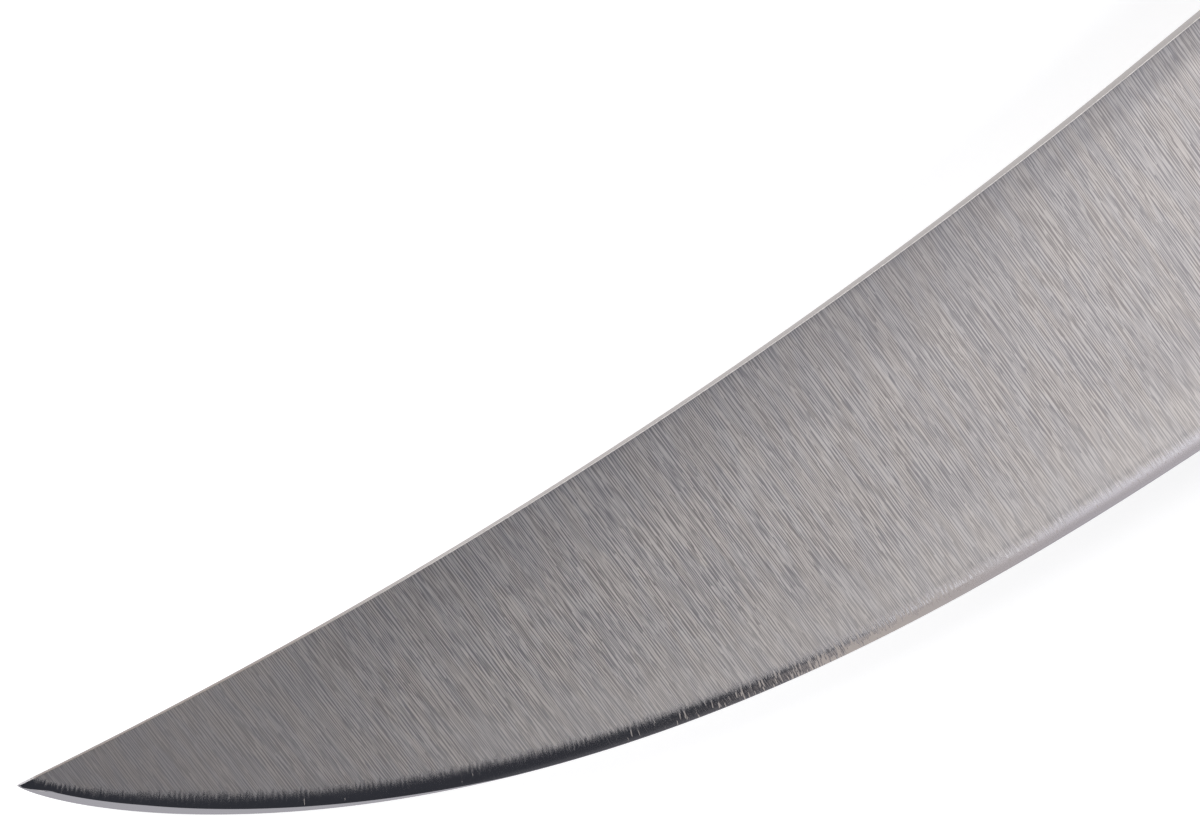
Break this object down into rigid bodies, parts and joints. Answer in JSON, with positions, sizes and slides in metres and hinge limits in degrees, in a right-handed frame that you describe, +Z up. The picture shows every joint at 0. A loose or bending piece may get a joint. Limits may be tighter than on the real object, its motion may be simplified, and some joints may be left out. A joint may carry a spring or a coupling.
{
  "type": "breaking knife",
  "caption": "Long butcher's knife with an upswept curved steel blade on a full tang, held between rounded rosewood scales by flush brass rivets; for breaking down large cuts of meat.",
  "frame": {"origin": "middle of the bounding box at its base, on the surface that the knife lies on", "axes": "+X from the blade's point towards the butt of the handle, +Y from the cutting edge towards the spine, +Z up out of the left side of the blade"},
  "size_m": [0.389, 0.0526, 0.02],
  "materials": {
    "blade_steel": "satin, ground across the blade, with a buffed convex edge bevel",
    "rosewood": "sanded and oiled",
    "rivet_brass": "ground flush and polished"
  },
  "bodies": {
    "root": {"blade": "blade_steel", "scale_left": "rosewood", "scale_right": "rosewood", "rivet_front_male": "rivet_brass", "rivet_front_female": "rivet_brass", "rivet_middle_male": "rivet_brass", "rivet_middle_female": "rivet_brass", "rivet_rear_male": "rivet_brass", "rivet_rear_female": "rivet_brass"}
  },
  "joints": []
}
